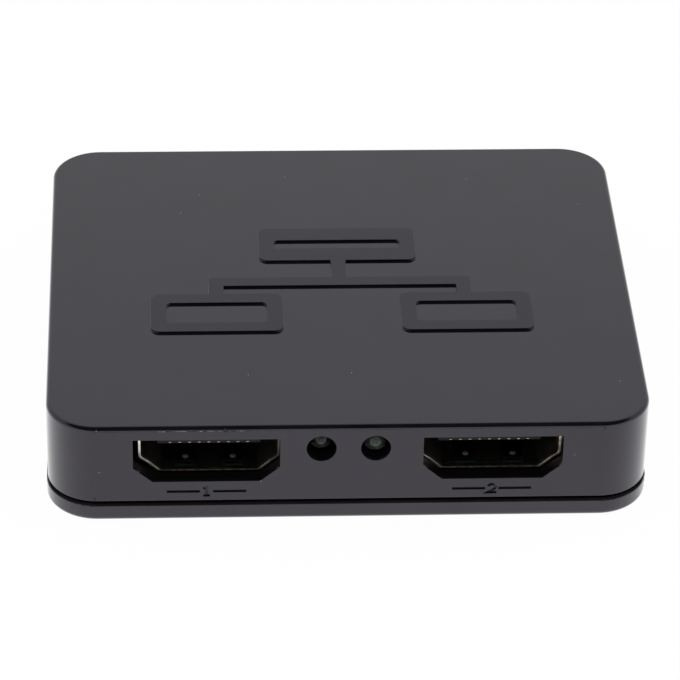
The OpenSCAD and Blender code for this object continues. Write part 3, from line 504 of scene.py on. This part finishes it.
def add_piece(name, shape, finish, smooth=True):
    """Turns a bmesh into a piece that rides on the case."""
    mesh = bpy.data.meshes.new(name)
    bmesh.ops.recalc_face_normals(shape, faces=shape.faces)
    for face in shape.faces:
        face.smooth = smooth
    shape.to_mesh(mesh)
    shape.free()
    mesh.materials.append(finish)
    piece = bpy.data.objects.new(name, mesh)
    bpy.context.scene.collection.objects.link(piece)
    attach(piece, "case")
    return piece


def turns(count):
    """Angles of evenly spaced points round a circle."""
    return [2 * math.pi * i / count for i in range(count)]


def sweep(shape, rings):
    """Skins a row of rings of points and caps both ends."""
    rows = [[shape.verts.new(point) for point in ring] for ring in rings]
    count = len(rows[0])
    for near, far in zip(rows, rows[1:]):
        for i in range(count):
            j = (i + 1) % count
            shape.faces.new((near[i], near[j], far[j], far[i]))
    shape.faces.new(rows[0])
    shape.faces.new(list(reversed(rows[-1])))


def disc_ring(middle, radius, count=24):
    """Points of a circle that faces the front."""
    return [middle + Vector((math.cos(t), 0.0, math.sin(t))) * radius for t in turns(count)]


def spin(shape, start, profile):
    """A solid of revolution about the front-to-back line through start: (depth, radius) in mm."""
    rings = [disc_ring(start + Vector((0, depth * MM, 0)), radius * MM) for depth, radius in profile]
    sweep(shape, rings)


def tube(shape, path, radius, count=10):
    """A round wire along a path."""
    rings = []
    for i, point in enumerate(path):
        along = (path[min(i + 1, len(path) - 1)] - path[max(i - 1, 0)]).normalized()
        side = along.cross(Vector((0, 1, 0)) if abs(along.y) < 0.9 else Vector((0, 0, 1))).normalized()
        up = side.cross(along)
        rings.append([point + (side * math.cos(t) + up * math.sin(t)) * radius for t in turns(count)])
    sweep(shape, rings)


# Core of a lamp, in mm: the cup's mouth lies this deep behind the tip of the lens
CUP_DEPTH = 0.8
CUP_R = 0.42
CUP_DROP = 0.1
# Each row: how far behind the cup's mouth, and how much less than the cup's radius
CUP_BOWL = [(0.0, 0.0), (-0.02, 0.05), (0.02, 0.1), (0.34, 0.2), (0.36, 0.4)]
CUP_STEM = [(0.01, 0.01), (0.5, 0.1), (0.9, 0.24), (2.6, 0.24)]
# Each row: how far behind the cup's mouth, and the post's radius
POST = [(0.55, 0.08), (0.6, 0.15), (1.1, 0.2), (2.6, 0.2)]
POST_ASIDE = 0.85
CHIP_SIZE = 0.24
CHIP_BACK = 0.25
CHIP_EDGE = 0.03
WIRE_BACK = 0.1
WIRE_R = 0.02
WIRE_BOW = 0.35
WIRE_STEPS = 10


def add_lamp_core(lens):
    """The reflector cup, its chip, the second post and the fine wire, cast into a lamp's lens."""
    low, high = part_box(lens)
    middle = (low + high) / 2
    tip = Vector((middle.x, low.y, middle.z))
    cup_at = tip - Vector((0, 0, CUP_DROP)) * MM
    post_at = tip + Vector((POST_ASIDE, 0, 0)) * MM
    name = lens.replace("_lens", "")

    cup = bmesh.new()
    for profile in (CUP_BOWL, CUP_STEM):
        spin(cup, cup_at, [(CUP_DEPTH + back, CUP_R - less) for back, less in profile])
    add_piece(name + "_cup", cup, FINISHES["tinned_leads"])

    chip = bmesh.new()
    chip_at = Matrix.Translation(cup_at + Vector((0, CUP_DEPTH + CHIP_BACK, 0)) * MM)
    bmesh.ops.create_cube(chip, size=CHIP_SIZE * MM, matrix=chip_at)
    bmesh.ops.bevel(chip, geom=list(chip.edges), offset=CHIP_EDGE * MM, segments=2, profile=0.5,
                    affect="EDGES")
    add_piece(name + "_chip", chip, FINISHES["ceramic_body"], smooth=False)

    post = bmesh.new()
    spin(post, post_at, [(CUP_DEPTH + back, radius) for back, radius in POST])
    add_piece(name + "_post", post, FINISHES["tinned_leads"])

    wire = bmesh.new()
    first = cup_at + Vector((0, CUP_DEPTH + WIRE_BACK, 0)) * MM
    last = post_at + Vector((0, CUP_DEPTH + POST[0][0], 0)) * MM
    path = []
    for k in range(WIRE_STEPS + 1):
        bow = WIRE_BOW * MM * math.sin(math.pi * k / WIRE_STEPS)
        path.append(first.lerp(last, k / WIRE_STEPS) - Vector((0, bow, 0)))
    tube(wire, path, WIRE_R * MM)
    add_piece(name + "_wire", wire, FINISHES["gold_contacts"])


add_lamp_core("lamp_1_lens")
add_lamp_core("lamp_2_lens")

# The front wall is moulded by an insert: its joint leaves two upright lines and a rough seam at the top
SEAM_HALF = 26.0 * MM
TORN_FROM, TORN_TO = -19.6 * MM, -9.4 * MM
TORN = torn_plastic("torn_plastic", cover_low.x, cover_high.x)
TORN_SEAM = torn_plastic("torn_seam", TORN_FROM, TORN_TO)
SEAM_Z = ROOF_Z - TOP_EDGE_R - 0.01 * MM
SEAM_STEPS = 260
SWELL_STEPS = 4
FRONT_Y = cover_low.y
ROOT_Y = FRONT_Y + 0.02 * MM


def add_seam(seed):
    """A fine ridge under the rounded front edge, uneven like trimmed flash, most torn left of the middle."""
    draw = random.Random(seed)
    shape = bmesh.new()
    swell = [draw.uniform(0.2, 1.0) ** 2 for _ in range(SEAM_STEPS // SWELL_STEPS + 2)]
    rings = []
    for i in range(SEAM_STEPS + 1):
        k, part = divmod(i, SWELL_STEPS)
        x = -SEAM_HALF + 2 * SEAM_HALF * i / SEAM_STEPS
        torn = 1.0 if TORN_FROM < x < TORN_TO else 0.3
        proud = (swell[k] + (swell[k + 1] - swell[k]) * part / SWELL_STEPS) * torn * 0.06 * MM
        half = (0.03 + 0.03 * draw.random() * torn) * MM
        face_y = FRONT_Y - proud
        rings.append([Vector((x, ROOT_Y, SEAM_Z - half)), Vector((x, face_y, SEAM_Z - half * 0.3)),
                      Vector((x, face_y, SEAM_Z + half * 0.3)), Vector((x, ROOT_Y, SEAM_Z + half))])
    sweep(shape, rings)
    add_piece("front_seam", shape, TORN_SEAM)


def add_scrap(name, x_mm, z_mm, long_mm, wide_mm, seed):
    """A scrap of flash on the front wall: an upright, uneven spindle."""
    draw = random.Random(seed)
    shape = bmesh.new()
    steps, deep_mm = 8, 0.05
    rings = []
    for k in range(steps + 1):
        share = k / steps
        size = math.sin(math.pi * (0.06 + 0.88 * share)) * draw.uniform(0.6, 1.0) * MM
        x = x_mm + draw.uniform(-0.3, 0.3) * wide_mm
        middle = Vector((x, 0, z_mm + long_mm * (share - 0.5))) * MM
        middle.y = FRONT_Y
        ring = [Vector((math.cos(t) * wide_mm / 2, math.sin(t) * deep_mm, 0)) for t in turns(10)]
        rings.append([middle + point * size for point in ring])
    sweep(shape, rings)
    add_piece(name, shape, TORN)


def add_insert_line(name, x):
    """A fine upright ridge on the front wall."""
    shape = bmesh.new()
    low, high = cover_low.z + 0.3 * MM, SEAM_Z
    half, face_half = 0.03 * MM, 0.012 * MM
    face_y = FRONT_Y - 0.02 * MM
    steps = 40
    rings = []
    for k in range(steps + 1):
        z = low + (high - low) * k / steps
        rings.append([Vector((x - half, ROOT_Y, z)), Vector((x - face_half, face_y, z)),
                      Vector((x + face_half, face_y, z)), Vector((x + half, ROOT_Y, z))])
    sweep(shape, rings)
    add_piece(name, shape, FINISHES["case_plastic"])


add_seam(seed=11)
# Place across, height, length and width in mm
add_scrap("front_scrap_1", -25.8, 11.35, 0.45, 0.12, seed=1)
add_scrap("front_scrap_2", -12.8, 11.15, 0.7, 0.14, seed=2)
add_scrap("front_scrap_3", 25.9, 11.0, 0.35, 0.12, seed=3)
add_scrap("front_scrap_4", -26.1, 2.75, 0.45, 0.1, seed=4)
add_insert_line("front_insert_line_left", -SEAM_HALF)
add_insert_line("front_insert_line_right", SEAM_HALF)


# Studio
FLOOR_HALF = 12.0
FLOOR_DOWN = 0.02 * MM  # just clear of the case's underside
FLOOR_WHITE = 0.97  # share of plain white that the eye and mirrors see; the rest shows the shadow
WALL_LIGHT = 0.61
HOOD_DARK = 0.59
HOOD_UP, HOOD_FRONT = 0.819, 0.574
HOOD_EDGE = (0.55, 0.68)


def make_floor():
    """White paper, with the object's shadow on it."""
    finish = Finish("floor_white")
    seen = finish.add("ShaderNodeLightPath", output="Is Camera Ray")
    for other in ("Is Glossy Ray", "Is Transmission Ray"):
        seen = seen + finish.add("ShaderNodeLightPath", output=other)
    finish.node_tree.nodes.remove(finish.surface)
    paper = finish.add("ShaderNodeBsdfDiffuse", inputs={"Color": tone(0.9, 0.9, 0.9)})
    white = finish.add("ShaderNodeEmission", inputs={"Color": tone(1, 1, 1), "Strength": 1.0})
    lit = finish.add("ShaderNodeMixShader", inputs={0: (seen > 0.5) * FLOOR_WHITE, 1: paper, 2: white})
    finish.feed(finish.node_tree.nodes["Material Output"], {"Surface": lit})
    signs = ((-1, -1), (1, -1), (1, 1), (-1, 1))
    corners = [(across * FLOOR_HALF, along * FLOOR_HALF, -FLOOR_DOWN) for across, along in signs]
    mesh = bpy.data.meshes.new("floor")
    mesh.from_pydata(corners, [], [(0, 1, 2, 3)])
    mesh.materials.append(finish.material)
    floor = bpy.data.objects.new("floor", mesh)
    bpy.context.scene.collection.objects.link(floor)


def make_world():
    """Pale walls all round, and a dark hood above and in front, where the camera stands."""
    world = bpy.data.worlds.new("studio")
    bpy.context.scene.world = world
    world.use_nodes = True
    tree = Tree(world.node_tree)
    way = tree.add("ShaderNodeTexCoord", output="Generated")
    _, ahead, up = tree.axes(way)
    hood = (up * HOOD_UP - ahead * HOOD_FRONT).rise(*HOOD_EDGE)
    back = world.node_tree.nodes["Background"]
    tree.feed(back, {"Color": tone(1, 1, 1), "Strength": WALL_LIGHT - hood * HOOD_DARK})


def add_lamp(name, place_mm, size_mm, watts):
    """A soft box that is aimed at the object."""
    light = bpy.data.lights.new(name, "AREA")
    light.shape = "RECTANGLE"
    light.size, light.size_y = (s * MM for s in size_mm)
    light.energy = watts
    lamp = bpy.data.objects.new(name, light)
    lamp.visible_glossy = False
    bpy.context.scene.collection.objects.link(lamp)
    lamp.location = Vector(place_mm) * MM
    lamp.rotation_mode = "QUATERNION"
    lamp.rotation_quaternion = (-Vector(place_mm)).to_track_quat("-Z", "Y")


def make_camera():
    """Stands in front of the object, above it and a little to one side."""
    pitch, yaw = math.radians(VIEW_PITCH), math.radians(VIEW_YAW)
    look = Vector((math.sin(yaw) * math.cos(pitch), math.cos(yaw) * math.cos(pitch), -math.sin(pitch)))
    level = look.to_track_quat("-Z", "Y").to_matrix().to_4x4()
    camera = bpy.data.objects.new("camera", bpy.data.cameras.new("camera"))
    camera.matrix_world = (Matrix.Translation(VIEW_AIM - look * VIEW_DISTANCE) @ level
                           @ Matrix.Rotation(math.radians(VIEW_ROLL), 4, "Z"))
    camera.data.sensor_width = SENSOR_MM
    camera.data.lens = FOCAL_PX / PICTURE_PX * SENSOR_MM
    bpy.context.scene.collection.objects.link(camera)
    bpy.context.scene.camera = camera


make_floor()
make_world()
add_lamp("left_box", place_mm=(-420, 40, 260), size_mm=(360, 260), watts=1.2)
add_lamp("right_box", place_mm=(420, 40, 260), size_mm=(360, 260), watts=1.2)
add_lamp("front_box", place_mm=(0, -300, 400), size_mm=(420, 160), watts=1.2)
make_camera()
bpy.context.scene.view_settings.view_transform = "Standard"
